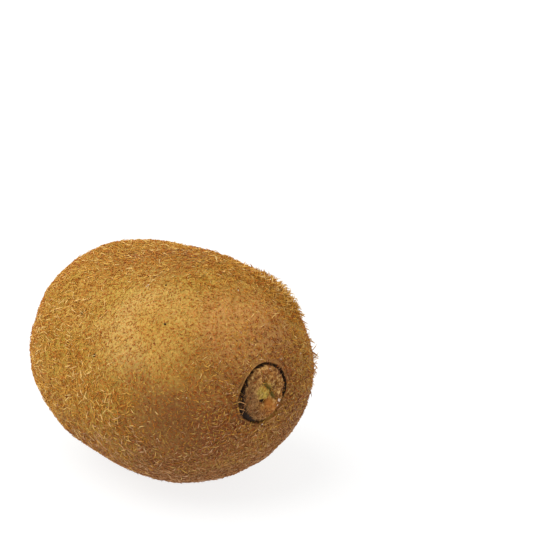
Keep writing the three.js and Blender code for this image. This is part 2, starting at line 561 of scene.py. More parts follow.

# %% [markdown]
# ## Colour masks on the skin
#
# The skin's tone drifts over the fruit: olive gold where the sun and rubbing
# wore it, orange brown on the shoulders, and a duller red brown low down.
# The low tone is partly the skin's own and partly painted shade on the underside.
# Two of the rust brown spots lie on the top of the fruit as painted shadow.
# The furry tone darkens the skin under the long hairs, as painted shade of the hairs.
# Each mask is kept on the mesh as an attribute, so it follows the skin wherever it goes.
# Two ripples of different length make every tone drift, so that no spot shows its round edge.
# Low down is read along a slant, because the stem half is the duller one underneath.

# %% Masks of the skin's tones
TAN_SPOTS = [((31, 0.5, 36), 13, 12, 1.0)]
BROWNER_SPOTS = [((34, -2, 24), 17, 12, 0.55)]
BLOSSOM_SPOTS = [((-34.5, 0.06, 23.7), 4.5, 8, 0.75)]
OLIVE_SPOTS = [
    ((12, -17, 42), 12.5, 20, 1.0),
    ((-14, 12, 42), 12, 20, 0.7),
    ((-2, 22, 16), 10, 18, 0.6),
    ((20, -2, 47), 5, 8, 0.7),
    ((-2, -20.5, 37), 7, 10, 0.8),
]
# The two highest of these spots are painted shadow on the top of the fruit; the others are rust brown
# skin.
RUSSET_AND_SHADE_SPOTS = [
    ((28, -16, 19), 13, 16, 1.2),
    ((33, 4, 22), 13, 14, 0.55),
    ((6, -2, 52), 9, 12, 1.0),
    ((-24, 8, 14), 10, 18, 0.7),
    ((-6, -8, 47), 7, 10, 0.7),
]
# The low tone is partly painted shade on the underside; these spots add to it and take from it.
LOW_SPOTS = [
    ((18, -23, 30), 6, 8, 0.12),
    ((30, -11, 35.5), 5, 8, 0.3),
    ((9, -26, 26), 5, 7, 0.2),
    ((25, -20, 29), 6, 6, 0.15),
    ((34, 0, 13), 7, 8, -0.8),
    ((11, -24.5, 13.5), 7, 9, -0.2),
    ((20, -24, 24), 4, 6, -0.25),
    ((32, -12, 28), 5, 6, -0.12),
]
SLOW_DRIFT = (0.35, 21)
QUICK_DRIFT = (0.18, 6.5)
LOW_SLANT = 0.35
LOW_EDGE = (-2, 26)
RUBBED_SHARE = 0.5
FURRY_SHARE = 0.75
MASKS = {}

drift = wobble(*SLOW_DRIFT, seed=11) + wobble(*QUICK_DRIFT, seed=12)
low = 1 - smooth_step(points[:, 2] - LOW_SLANT * points[:, 0], *LOW_EDGE)
for mask, tone_places, strength in (
    ("tan", add_spots(points, TAN_SPOTS), 0.85),
    ("olive", add_spots(points, OLIVE_SPOTS), 0.8),
    # rust brown skin, and painted shadow on the top of the fruit
    ("russet_and_shade", add_spots(points, RUSSET_AND_SHADE_SPOTS), 0.8),
    # partly red brown skin and partly painted shade on the underside
    ("low", low + add_spots(points, LOW_SPOTS), 1.0),
    # painted shade of the long hairs on the skin under them
    ("furry", 1 - worn(points), FURRY_SHARE),
    ("blossom", add_spots(points, BLOSSOM_SPOTS), 0.85),
):
    MASKS[mask] = tone_places * (strength + drift)
MASKS["browner"] = add_spots(points, BROWNER_SPOTS)
MASKS["rubbed"] = RUBBED_SHARE * rubbed_smooth(points)
print("the drift of the tones goes from", drift.min().round(2), "to", drift.max().round(2))

# %% [markdown]
# The scar's masks come straight from its parts. The crack's mask is dirt and painted shade.
# It lies on all that is deep and dirty: the open crack, the slope into it, the lines beside it
# and the hole. Its painted shade is darkest on the far side and at the crack's foot.
# An ember is a patch of orange cork that broke last.

# %% Masks of the scar
EMBERS = [
    ((1.0, -2.1), (0.9, 0.7), 1.0),
    ((1.7, -3.5), (1.9, 1.2), 0.85),
    ((1.6, 4.6), (0.9, 0.9), 0.8),
]
LIP_COLOUR_RING = ((1.0, 1.03), (1.2, 1.38))
DARK_FAR_SIDE = (5, 35)
DARK_FOOT = (228, 24)
CLOSED_HIDES = 0.85
SECOND_CRACK_SHADE = 0.7
OUTER_LINE_SHADE = 0.85
SLOPE_SHADE = 0.5
HOLE_SHADE = 1.2
SHADE_LEVEL = 0.88
SHADE_WOBBLE = (0.22, 1.1)
LEFT_OF_THE_CAP = (-3.4, -0.8)
OLD_CORK_SHARE = 0.7
OLD_CORK_FADES = 0.35
OLD_CORK_FADES_UP = (0.5, 3)
STRIPE_EDGE = (0.25, 0.8)


def keep_mask(mesh, name, values):
    """Stores one number from 0 to 1 for each point of a mesh."""
    layer = mesh.attributes.new(name, "FLOAT", "POINT")
    layer.data.foreach_set("value", np.clip(values, 0, 1).astype(np.float32))


ember = np.zeros(len(points))
for middle, reach, weight in EMBERS:
    ember += weight * np.exp(-(oval_distance(middle, reach) ** 2))
foot = angle_bump(angle, *DARK_FOOT)
crack_shade = in_crack * (1 - CLOSED_HIDES * closed)
crack_shade += SECOND_CRACK_SHADE * second_crack + OUTER_LINE_SHADE * outer_line
crack_shade += SLOPE_SHADE * (1 + foot) * inner_slope
crack_shade *= SHADE_LEVEL + wobble(*SHADE_WOBBLE, seed=9)
crack_shade += HOLE_SHADE * hole
crack_shade += SLOPE_SHADE * in_crack * (angle_bump(angle, *DARK_FAR_SIDE) + foot)
old_cork = (1 - smooth_step(across, *LEFT_OF_THE_CAP)) * on_cap
old_cork *= OLD_CORK_SHARE - OLD_CORK_FADES * smooth_step(up, *OLD_CORK_FADES_UP)
for mask, values, strength in (
    ("lip", ring_band(ring_share, *LIP_COLOUR_RING), 0.25),
    ("rim", rim, 0.5),
    ("cap", on_cap, 1.0),
    ("grey", old_cork, 1.0),
    ("ember", ember, 1.0),
    ("stripes", smooth_step(-stripes, *STRIPE_EDGE), 0.75),
    ("heart", in_heart * on_cap, 1.0),
    # painted shade in the hollow beside the crease
    ("hollow", hollow, 0.6),
    ("crease", crease, 1.0),
    ("crack", np.clip(crack_shade, 0, 1), 1.0),
):
    MASKS[mask] = strength * values * near
for mask, values in MASKS.items():
    keep_mask(skin.data, mask, values)
print("masks:", {mask: round(float(values.mean()), 3) for mask, values in MASKS.items()})

# %% [markdown]
# ## The skin's material
#
# Kiwi skin is a dry, corky layer of dead cells: dull, with hardly any gloss,
# so its roughness is high and its IOR is that of plant tissue. The pits between dead cells
# swallow most of what would shine, so its gloss is far under the usual half.
# Hairs that rubbed off leave rust-brown stubs about 0.7 mm apart. Between them
# the skin shows olive gold. The stubs are a cell pattern, and its scale is 1000 / 0.72 per metre.

# %% Skin material
STUB_SPACING_MM = 0.72
MOTTLE_MM = 2.6
GRAIN_MM = 0.28
SPECKLE_MM = 0.5
SKIN_ROUGHNESS = 0.72
SKIN_IOR = 1.45
SKIN_GLOSS = 0.15
FUZZ_SHEEN = 0.03

skin_material, skin_shader = new_material("kiwi_skin", SKIN_ROUGHNESS, SKIN_IOR, SKIN_GLOSS)
skin_shader.inputs["Sheen Weight"].default_value = FUZZ_SHEEN
place = add_node(skin_material, "ShaderNodeTexCoord").outputs["Object"]
mottle = add_node(
    skin_material,
    "ShaderNodeTexNoise",
    {"Vector": place, "Scale": 1 / (MOTTLE_MM * MM), "Detail": 4.0, "Roughness": 0.6},
)
grain = add_node(
    skin_material,
    "ShaderNodeTexNoise",
    {"Vector": place, "Scale": 1 / (GRAIN_MM * MM), "Detail": 3.0, "Roughness": 0.65},
)
speckle = add_node(
    skin_material,
    "ShaderNodeTexNoise",
    {"Vector": place, "Scale": 1 / (SPECKLE_MM * MM), "Detail": 2.0, "Roughness": 0.6},
)
stubs = add_node(
    skin_material,
    "ShaderNodeTexVoronoi",
    {"Vector": place, "Scale": 1 / (STUB_SPACING_MM * MM), "Randomness": 1.0},
    feature="F1",
)
golden = add_node(
    skin_material,
    "ShaderNodeValToRGB",
    {"Fac": mottle.outputs["Fac"]},
    stops=[(0.3, "#A8782E"), (0.7, "#C89A46")],
)
print("skin material nodes so far:", len(skin_material.node_tree.nodes))

# %% [markdown]
# The masks lay their tones over the gold one after another, each over the ones before it.
# Then come four fine patterns that reach everywhere: the stubs, a grain that is olive on the
# gold skin and brown round the scar, rust specks and pale ones. Each is a texture's value
# stretched to the share of colour that it lays on.

# %% Lay the skin's tones
# The rust brown tone is partly painted shadow on the top, the low tone partly painted shade on the
# underside, and the furry tone painted shade under the long hairs.
SKIN_TONES = [
    ("olive", "#C49E5A"),
    ("furry", "#AC882E"),
    ("tan", "#C68C4E"),
    ("russet_and_shade", "#84502C"),
    ("low", "#6E3A20"),
    ("blossom", "#5E3A1C"),
]
browner = add_node(skin_material, "ShaderNodeAttribute", attribute_name="browner")
grain_tone = add_node(
    skin_material,
    "ShaderNodeMix",
    {0: browner.outputs["Fac"], 6: linear("#8C8230"), 7: linear("#84582C")},
    data_type="RGBA",
)
FINE_PATTERNS = [
    (stubs.outputs["Distance"], 0.42, 0.16, 0.55, linear("#BC5E24")),
    (grain.outputs["Fac"], 0.42, 0.66, 0.6, grain_tone.outputs[2]),
    (speckle.outputs["Fac"], 0.53, 0.68, 0.4, linear("#B04A18")),
    (speckle.outputs["Fac"], 0.47, 0.3, 0.4, linear("#DCB458")),
]

tone = golden.outputs["Color"]
for mask, colour in SKIN_TONES:
    painted = add_node(skin_material, "ShaderNodeAttribute", attribute_name=mask)
    laid = add_node(
        skin_material,
        "ShaderNodeMix",
        {0: painted.outputs["Fac"], 6: tone, 7: linear(colour)},
        data_type="RGBA",
    )
    tone = laid.outputs[2]
for value, from_none, from_full, strongest, colour in FINE_PATTERNS:
    amount = add_node(
        skin_material,
        "ShaderNodeMapRange",
        {
            "Value": value,
            "From Min": from_none,
            "From Max": from_full,
            "To Min": 0.0,
            "To Max": strongest,
        },
        interpolation_type="SMOOTHSTEP",
    )
    laid = add_node(
        skin_material,
        "ShaderNodeMix",
        {0: amount.outputs["Result"], 6: tone, 7: colour},
        data_type="RGBA",
    )
    tone = laid.outputs[2]
print("tones laid:", len(SKIN_TONES) + len(FINE_PATTERNS))

# %% [markdown]
# ## The scar's colours
#
# Cork is grey brown where it is old and tan where it broke last.
# The heart stays yellow green because it was alive when the fruit was picked.
# The crack is nearly black: dirt and painted shade fill it. A paler dry lip stands outside it.
# The rubbed patch of the skin is laid here too, because it also covers the fine patterns.

# %% Scar colours
CORK_GRAIN_MM = 0.7
SKIN_BUMP_MM = 0.16

cork_noise = add_node(
    skin_material,
    "ShaderNodeTexNoise",
    {"Vector": place, "Scale": 1 / (CORK_GRAIN_MM * MM), "Detail": 5.0, "Roughness": 0.75},
)
cork_tone = add_node(
    skin_material,
    "ShaderNodeValToRGB",
    {"Fac": cork_noise.outputs["Fac"]},
    stops=[(0.36, "#3E2412"), (0.6, "#E4B872"), (0.44, "#7E5026"), (0.52, "#B48042")],
)
heart_tone = add_node(
    skin_material,
    "ShaderNodeValToRGB",
    {"Fac": cork_noise.outputs["Fac"]},
    stops=[(0.36, "#8E7634"), (0.6, "#D2B050")],
)
LAST_TONES = [
    ("rubbed", linear("#7C5428")),
    ("lip", linear("#8E6034")),
    ("rim", linear("#B07C48")),
    ("cap", cork_tone.outputs["Color"]),
    ("grey", linear("#7E5C36")),
    ("ember", linear("#BC7634")),
    ("stripes", linear("#432B17")),
    ("heart", heart_tone.outputs["Color"]),
    # a darker brown, painted shade in the hollow beside the crease
    ("hollow", linear("#5C3C1C")),
    ("crease", linear("#5A5420")),
    # dirt and painted shade in the crack and the hole
    ("crack", linear("#26170C")),
]
for mask, colour in LAST_TONES:
    painted = add_node(skin_material, "ShaderNodeAttribute", attribute_name=mask)
    laid = add_node(
        skin_material,
        "ShaderNodeMix",
        {0: painted.outputs["Fac"], 6: tone, 7: colour},
        data_type="RGBA",
    )
    tone = laid.outputs[2]
skin_material.node_tree.links.new(tone, skin_shader.inputs["Base Color"])

skin_bump = add_node(
    skin_material,
    "ShaderNodeBump",
    {"Strength": 0.9, "Distance": SKIN_BUMP_MM * MM, "Height": speckle.outputs["Fac"]},
)
skin_material.node_tree.links.new(skin_bump.outputs["Normal"], skin_shader.inputs["Normal"])
skin.data.materials.clear()
skin.data.materials.append(skin_material)
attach(skin, "root")
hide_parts("fruit")
print("skin material nodes:", len(skin_material.node_tree.nodes))

# %% [markdown]
# ## One hair at a time
#
# A kiwi hair is a stiff, dry, tapered thread. Real ones are under a tenth of a millimetre thick;
# these are drawn thicker, so that they still show in a small picture.
# Each kind is modelled once: a small triangle is extruded along a curved path,
# made narrower at each step, and merged to a point at the tip. Long hairs bow to one side
# or the other, so there are three of them.


# %% Model the kinds of hair
def model_thread(name, width, steps, sides=3):
    """A tapered thread that starts at the origin and runs along X. A step is (x, y, z, narrowing)."""
    bpy.ops.object.select_all(action="DESELECT")
    bpy.ops.mesh.primitive_circle_add(
        vertices=sides, radius=width / 2 * MM, fill_type="NGON", rotation=(0, math.pi / 2, 0)
    )
    thread = bpy.context.object
    thread.name = name
    bpy.ops.object.transform_apply(location=True, rotation=True, scale=True)
    bpy.ops.object.mode_set(mode="EDIT")
    bpy.ops.mesh.select_all(action="SELECT")
    for x, y, z, narrowing in steps:
        bpy.ops.mesh.extrude_region_move(TRANSFORM_OT_translate={"value": (x * MM, y * MM, z * MM)})
        bpy.ops.transform.resize(value=(narrowing, narrowing, narrowing))
    bpy.ops.mesh.merge(type="CENTER")
    bpy.ops.mesh.select_all(action="SELECT")
    bpy.ops.mesh.normals_make_consistent(inside=False)
    bpy.ops.mesh.quads_convert_to_tris()
    bpy.ops.object.mode_set(mode="OBJECT")
    return thread


def thread_arrays(thread):
    """A modelled thread as points in millimetres, triangles and how far along each point is."""
    mesh = thread.data
    mesh.calc_loop_triangles()
    triangles = np.empty(len(mesh.loop_triangles) * 3, np.int32)
    mesh.loop_triangles.foreach_get("vertices", triangles)
    thread_points = read_points(mesh)
    reach = thread_points[:, 0] / thread_points[:, 0].max()
    bpy.data.objects.remove(thread)
    return thread_points, triangles.reshape(-1, 3), reach


STUBBLE_WIDTH = 0.19
STUBBLE_STEPS = [(0.5, 0, 0.05, 0.85), (0.42, 0.05, 0.0, 0.45)]
LONG_WIDTH = 0.14
LONG_STEPS = [(0.52, 0.04, 0.1, 0.9), (0.52, 0.14, 0.03, 0.85), (0.42, 0.16, -0.08, 0.5)]
LONG_BOWS = (-1.1, 0.1, 0.9)


def bowed(steps, side):
    """The same steps with their sideways part made larger, smaller or turned to the other side."""
    return [(x, side * y, z, narrowing) for x, y, z, narrowing in steps]


STUBBLE = thread_arrays(model_thread("stubble_hair", STUBBLE_WIDTH, STUBBLE_STEPS))
LONG_KINDS = [
    thread_arrays(model_thread(f"long_hair_{number}", LONG_WIDTH, bowed(LONG_STEPS, side)))
    for number, side in enumerate(LONG_BOWS)
]
print("faces per hair:", len(STUBBLE[1]), [len(kind[1]) for kind in LONG_KINDS])

# %% [markdown]
# ## Where hairs grow
#
# Hairs grow all over, but handling wears them off the fullest parts.
# The crack and its upper left lip carry none, the cap next to none, and the flat spot none.
# Each kind of hair has its own density, a number for every place on the skin.
# Long ones grow in patches, thinned where the skin is worn. Stubble stands everywhere,
# thicker where the long ones are gone and in a ring round the scar.

# %% How densely hairs grow
BARE_TO = 1.02
BARE_LIP = 0.1
BARE_LIP_SIDE = (120, 45)
BARE_EDGE = 0.08
BARE_SHARE = 0.99
FLAT_SPOT_MM = 0.35
LONG_LEVEL = 0.75
PATCHES = [(0.3, 9, 21), (0.25, 3.5, 22)]
PATCHY_RANGE = (0.15, 1.6)
LONG_FROM = (1.12, 1.3)
STEM_END_SPOT = ((35, -1, 25), 12, 8)
LONG_LOST_WHERE_WORN = 0.85
LONG_MORE_WHERE_THICK = 0.5
LONG_MORE_IN_FRINGE = 0.7
LONG_MORE_AT_STEM_END = 0.35
STUBBLE_LEVEL = 0.7
STUBBLE_MORE_WHERE_WORN = 0.7
STUBBLE_LOST_WHERE_RUBBED = 0.75
STUBBLE_MORE_IN_RING = 1.1
STUBBLE_RING = (1.3, 1.7)


def grows(places):
    """How well hairs grow in a place: not on the scar, and not on the flat spot."""
    _, _, place_share, place_angle, place_near = scar_place(places)
    bare_to = BARE_TO + BARE_LIP * angle_bump(place_angle, *BARE_LIP_SIDE)
    scar = place_near * (1 - smooth_step(place_share, bare_to, bare_to + BARE_EDGE))
    return (1 - BARE_SHARE * scar) * (places[:, 2] > FLAT_SPOT_MM)


def inside_ring(places, ring):
    """1 on the scar's side of a ring, and 0 on the rest of the fruit."""
    _, _, place_share, _, place_near = scar_place(places)
    return place_near * (1 - smooth_step(place_share, *ring))


def long_density(places):
    """Long hairs: many in the furry bands, few where the skin is worn."""
    patchy = np.full(len(places), LONG_LEVEL)
    for height, wavelength, seed in PATCHES:
        patchy += height * ripple(places, wavelength, seed)
    amount = np.clip(patchy, *PATCHY_RANGE) * (1 - LONG_LOST_WHERE_WORN * worn(places))
    amount *= 1 + LONG_MORE_WHERE_THICK * thick(places)
    amount += LONG_MORE_IN_FRINGE * fringe(places)
    amount += LONG_MORE_AT_STEM_END * soft_spot(places, *STEM_END_SPOT) * (1 - worn(places))
    return amount * (1 - inside_ring(places, LONG_FROM)) * grows(places)


def stubble_density(places):
    """Stubble: everywhere that hairs grow, and a little more where the long ones are gone."""
    amount = STUBBLE_LEVEL + STUBBLE_MORE_WHERE_WORN * worn(places)
    amount -= STUBBLE_LOST_WHERE_RUBBED * rubbed_smooth(places)
    amount += STUBBLE_MORE_IN_RING * inside_ring(places, STUBBLE_RING)
    return amount * grows(places)


for density in (long_density, stubble_density):
    print(density.__name__, "goes up to", density(points).max().round(2))

# %% [markdown]
# Roots are scattered by these densities, and each new root keeps a small distance from the
# others, because no two hairs on a fruit share a root. More places are tried
# than are wanted, and those too near an earlier one are passed over. To find its neighbours
# quickly, each root is filed under the small cube that it lies in.
# A root is a place on the skin and the way that the skin faces there.

# %% Scatter the roots
STUBBLE_COUNT = 30000
LONG_COUNT = 27000
ROOT_SPACING = 0.36
TRIES_PER_ROOT = 1.9
STEPS_TO_NEIGHBOURS = list(itertools.product((-1, 0, 1), repeat=3))


def scatter_roots(count, spacing, density, seed):
    """Root places and normals on the skin, about evenly spaced, thinned by a density function."""
    random = np.random.default_rng(seed)
    mesh = skin.data
    mesh.calc_loop_triangles()
    corners = np.empty(len(mesh.loop_triangles) * 3, np.int32)
    mesh.loop_triangles.foreach_get("vertices", corners)
    corners = corners.reshape(-1, 3)
    a, b, c = (points[corners[:, i]] for i in range(3))
    area = np.linalg.norm(np.cross(b - a, c - a), axis=1) / 2
    weight = area * density((a + b + c) / 3)
    tries = int(count * TRIES_PER_ROOT)
    chosen = random.choice(len(area), tries, p=weight / weight.sum())
    first, second = np.sqrt(random.random(tries)), random.random(tries)
    shares = np.stack([1 - first, first * (1 - second), first * second], 1)
    places = sum(shares[:, i, None] * points[corners[chosen, i]] for i in range(3))
    facing = sum(shares[:, i, None] * skin_normals[corners[chosen, i]] for i in range(3))
    kept, cells = [], {}
    keys = np.floor(places / spacing).astype(int)
    for number in range(tries):
        key = tuple(keys[number])
        neighbours = [
            other
            for dx, dy, dz in STEPS_TO_NEIGHBOURS
            for other in cells.get((key[0] + dx, key[1] + dy, key[2] + dz), ())
        ]
        away = places[neighbours] - places[number]
        if (away * away).sum(1).min(initial=math.inf) < spacing * spacing:
            continue
        kept.append(number)
        cells.setdefault(key, []).append(number)
        if len(kept) == count:
            break
    return places[kept], facing[kept] / np.linalg.norm(facing[kept], axis=1)[:, None]


skin_normals = read_normals(skin.data)
stubble_roots = scatter_roots(STUBBLE_COUNT, ROOT_SPACING, stubble_density, seed=31)
long_roots = scatter_roots(LONG_COUNT, ROOT_SPACING, long_density, seed=32)
print("roots:", len(stubble_roots[0]), len(long_roots[0]))

# %% [markdown]
# ## Laying the hairs
#
# Hairs lean along the fruit and lie low, but no two point the same way.
# Each copy is turned, tipped up a little and scaled, and its root sits just under the skin.
# Every hair carries its own colour and how far along it each point is, as a UV map:
# across is the hair's tone, and up is from root to tip. One material serves them all.
# Its points are spread a little across the map too, so that no face of it has an empty map.

# %% Lay out hairs
LOWEST_MM = 0.04
UV_MAP = "OFBake"
MAP_EDGE = 0.004
MAP_SPREAD = 0.006
MAP_STEP = 2.1
NUDGE = 1e-3


def new_piece(name, piece_points, triangles, uv):
    """A mesh object at the origin from arrays of points, triangles and one UV place per point."""
    mesh = bpy.data.meshes.new(name)
    mesh.vertices.add(len(piece_points))
    mesh.loops.add(triangles.size)
    mesh.polygons.add(len(triangles))
    mesh.vertices.foreach_set("co", (piece_points * MM).astype(np.float32).ravel())
    mesh.loops.foreach_set("vertex_index", triangles.astype(np.int32).ravel())
    mesh.polygons.foreach_set("loop_start", np.arange(0, triangles.size, 3, dtype=np.int32))
    mesh.update(calc_edges=True)
    layer = mesh.uv_layers.new(name=UV_MAP)
    layer.uv.foreach_set("vector", uv[triangles.ravel()].astype(np.float32).ravel())
    mesh.shade_smooth()
    piece = bpy.data.objects.new(name, mesh)
    bpy.context.collection.objects.link(piece)
    return piece


def lay_threads(name, kinds, roots, turn, tip, size, hair_tone, sink, seed, lean=(1, 0, 0)):
    """Copies modelled threads onto roots and joins them in one mesh."""
    random = np.random.default_rng(seed)
    places, facing = roots
    lean = np.array(lean) + NUDGE
    along = lean - facing * (facing @ lean)[:, None]
    along /= np.linalg.norm(along, axis=1)[:, None]
    side = np.cross(facing, along)
    forward = along * np.cos(turn)[:, None] + side * np.sin(turn)[:, None]
    sideways = np.cross(facing, forward)
    ahead = forward * np.cos(tip)[:, None] + facing * np.sin(tip)[:, None]
    lifted = np.cross(ahead, sideways)
    which = random.integers(0, len(kinds), len(places))
    all_points, all_triangles, all_uv, start = [], [], [], 0
    for number, (thread_points, triangles, reach) in enumerate(kinds):
        mine = np.nonzero(which == number)[0]
        local = thread_points[None] * size[mine, None, None]
        world = (
            (places[mine] - facing[mine] * sink)[:, None]
            + local[..., :1] * ahead[mine, None]
            + local[..., 1:2] * sideways[mine, None]
            + local[..., 2:3] * lifted[mine, None]
        )
        count = len(thread_points)
        offsets = start + count * np.arange(len(mine))
        all_points.append(world.reshape(-1, 3))
        all_triangles.append((triangles[None] + offsets[:, None, None]).reshape(-1, 3))
        spread = MAP_SPREAD * np.sin(np.arange(count) * MAP_STEP)
        across_map = np.clip(hair_tone[mine, None] + spread[None], MAP_EDGE, 1 - MAP_EDGE)
        up_map = np.broadcast_to(reach.clip(MAP_EDGE, 1 - MAP_EDGE)[None], across_map.shape)
        all_uv.append(np.stack([across_map, up_map], -1).reshape(-1, 2))
        start += count * len(mine)
    joined = np.concatenate(all_points)
    joined[:, 2] = np.maximum(joined[:, 2], LOWEST_MM)
    return new_piece(name, joined, np.concatenate(all_triangles), np.concatenate(all_uv))


print("threads are laid at least", LOWEST_MM, "mm above the floor")

# %% [markdown]
# Stubble is what is left where the long hairs broke off: short, rust brown, and standing
# every way. It is paler and a little longer round the scar, and dull low down.

# %% How each bit of stubble stands
SCAR_MIDDLE = (35, 0, 26)
BLOSSOM_MIDDLE = (-34.5, 0, 23.7)
DULL_EDGE = (-4, 24)
TONE_RANGE = (0.02, 0.98)
STUBBLE_TIP = (5, 30)
STUBBLE_SIZES = (0.55, 1.05)
RUSTY_TONES = (0.2, 0.12)
BRIGHT_TONES = (0.6, 0.14)
BRIGHT_SHARE = 0.45
BRIGHT_LOST_WHERE_RUBBED = 0.35
TOP_OF_FRUIT = (36, 46)
STEEPER_ROUND_SCAR = 0.3
LONGER_ROUND_SCAR = 0.25
PALER_ON_TOP = 0.05
PALER_WHERE_RUBBED = 0.06
PALER_ROUND_SCAR = 0.12
DARKER_AT_BLOSSOM = 0.3
STUBBLE_DULL_ROUND_SCAR = 0.45
DULL_AT_BLOSSOM = 0.8


def low_down(places):
    """1 low on the stem half, where the hairs are duller, and 0 on the upper half."""
    return 1 - smooth_step(places[:, 2] - LOW_SLANT * places[:, 0], *DULL_EDGE)


def tone_place(tone, duller):
    """The place across the UV map: gold hairs on its left half and duller ones on its right."""
    return (np.clip(tone, *TONE_RANGE) + duller) / 2


random = np.random.default_rng(41)
count = len(stubble_roots[0])
rubbed = rubbed_smooth(stubble_roots[0])
near_scar = soft_spot(stubble_roots[0], SCAR_MIDDLE, radius=15, blur=10)
near_blossom = soft_spot(stubble_roots[0], BLOSSOM_MIDDLE, radius=5, blur=6)
stubble_turn = random.uniform(-math.pi, math.pi, count)
stubble_tip = np.radians(random.uniform(*STUBBLE_TIP, count))
stubble_tip *= 1 + STEEPER_ROUND_SCAR * near_scar
stubble_size = random.uniform(*STUBBLE_SIZES, count) * (1 + LONGER_ROUND_SCAR * near_scar)
stubble_tone = random.normal(*RUSTY_TONES, count) + PALER_WHERE_RUBBED * rubbed
stubble_tone += PALER_ON_TOP * smooth_step(stubble_roots[0][:, 2], *TOP_OF_FRUIT)
bright = random.random(count) < BRIGHT_SHARE - BRIGHT_LOST_WHERE_RUBBED * rubbed
stubble_tone[bright] = random.normal(*BRIGHT_TONES, bright.sum())
stubble_tone += PALER_ROUND_SCAR * near_scar * bright - DARKER_AT_BLOSSOM * near_blossom
dull = np.maximum(low_down(stubble_roots[0]), STUBBLE_DULL_ROUND_SCAR * near_scar)
dull = np.maximum(dull, DULL_AT_BLOSSOM * near_blossom)
stubble_across = tone_place(stubble_tone, random.random(count) < dull)
print("stubble:", count, "of it bright:", int(bright.sum()))

# %% [markdown]
# Long hairs lie almost flat and lean towards the stem end. On the blossom half
# many point the other way and stand up tousled, and underneath they lie every way.
# On the shoulder behind the scar they stand up as a pale fringe.
# Each zone is a soft edge across the fruit, in millimetres from its middle or its floor.

# %% How each long hair lies
BLOSSOM_HALF = (-14, 4)
BLOSSOM_END = (12, 24)
UNDERSIDE = (-20, -8)
TURN_SPREAD = 1.0
LOOSER_UNDERNEATH = 0.9
STRAIGHTER_BY_BLOSSOM = 0.4
BACKWARDS_SHARE = 0.25
MORE_BACKWARDS_BY_BLOSSOM = 0.4
BACKWARDS_UP_TO = (-30, -20)
SHOULDER_ALONG = (5, 28)
SHOULDER_UP = (14, 30)
STANDING_SHARE = 0.3
STANDING_HEIGHTS = (0.5, 1.3)
TOUSLED_ALONG = (-19, -9)
TOUSLED_BELOW = (-45, -37)
TOUSLED_ABOVE = (11, 22)
LYING_TIP = (0, 13)
FLATTER = 0.5
STANDING_TIP = 42
TOUSLED_TIP = 26

places = long_roots[0]
count = len(places)
towards_blossom = smooth_step(-places[:, 0], *BLOSSOM_HALF)
at_blossom = smooth_step(-places[:, 0], *BLOSSOM_END)
underneath = smooth_step(-places[:, 2], *UNDERSIDE)
round_scar = soft_spot(places, SCAR_MIDDLE, radius=13, blur=8)
round_blossom = soft_spot(places, BLOSSOM_MIDDLE, radius=5, blur=6)
standing = fringe(places)
looseness = 1 + LOOSER_UNDERNEATH * underneath - STRAIGHTER_BY_BLOSSOM * towards_blossom
long_turn = random.normal(0, TURN_SPREAD, count) * looseness
backwards_share = BACKWARDS_SHARE + MORE_BACKWARDS_BY_BLOSSOM * towards_blossom
backwards = random.random(count) < backwards_share
backwards &= places[:, 0] > random.uniform(*BACKWARDS_UP_TO, count)
long_turn[backwards] += math.pi
stands = smooth_step(places[:, 0], *SHOULDER_ALONG) * smooth_step(places[:, 2], *SHOULDER_UP)
stands *= random.random(count) < STANDING_SHARE
stands = np.maximum(stands, standing * random.uniform(*STANDING_HEIGHTS, count))
tousled = towards_blossom * smooth_step(places[:, 0], *TOUSLED_ALONG)
tousled *= smooth_step(-places[:, 2], *TOUSLED_BELOW)
tousled *= smooth_step(places[:, 2], *TOUSLED_ABOVE)
tousled *= random.uniform(0, 1, count)
lies_flat = 1 - FLATTER * np.maximum(at_blossom, underneath)
long_tip = random.uniform(*LYING_TIP, count) * lies_flat
long_tip = np.radians(long_tip + STANDING_TIP * stands + TOUSLED_TIP * tousled)
print("long hairs:", count, "of them turned back:", int(backwards.sum()))

# %% [markdown]
# Worn places keep shorter hairs, and those that stand up are longer. The tone runs from rust
# to pale gold. Some are rusty round the scar, and about every fourth one is bleached by the sun.
# The duller half of the tones is used low down, round the scar and at the blossom end.

# %% How long and how pale each hair is
LONG_SIZES = (0.6, 1.25)
LONG_TONES = (0.48, 0.15)
RUSTY_LONG_TONES = (0.2, 0.08)
UPRIGHT = 0.3
SHORTER_WHERE_WORN = 0.35
LONGER_WHERE_THICK = 0.12
LONGER_WHERE_UPRIGHT = 0.3
SHORTER_ROUND_SCAR = 0.2
LONGER_BY_BLOSSOM = 0.15
RUSTY_SHARE_ROUND_SCAR = 0.5
SUNLIT_SHARE = 0.23
SUNLIT_MORE_WHERE_THICK = 0.04
SUNLIT_PALER = 0.4
SUNLIT_LONGER = 1.1
PALER_WHERE_UPRIGHT = 0.12
LONG_DULL_ROUND_SCAR = 0.5

long_size = random.uniform(*LONG_SIZES, count) * (1 - SHORTER_WHERE_WORN * worn(places))
long_size *= 1 + LONGER_WHERE_THICK * thick(places) + LONGER_WHERE_UPRIGHT * (stands > UPRIGHT)
long_size *= (1 - SHORTER_ROUND_SCAR * round_scar) * (1 + LONGER_BY_BLOSSOM * towards_blossom)
long_tone = random.normal(*LONG_TONES, count)
rusty = random.random(count) < RUSTY_SHARE_ROUND_SCAR * round_scar
long_tone[rusty] = random.normal(*RUSTY_LONG_TONES, rusty.sum())
sunlit = random.random(count) < SUNLIT_SHARE + SUNLIT_MORE_WHERE_THICK * thick(places)
long_tone[sunlit] += SUNLIT_PALER
long_size[sunlit] *= SUNLIT_LONGER
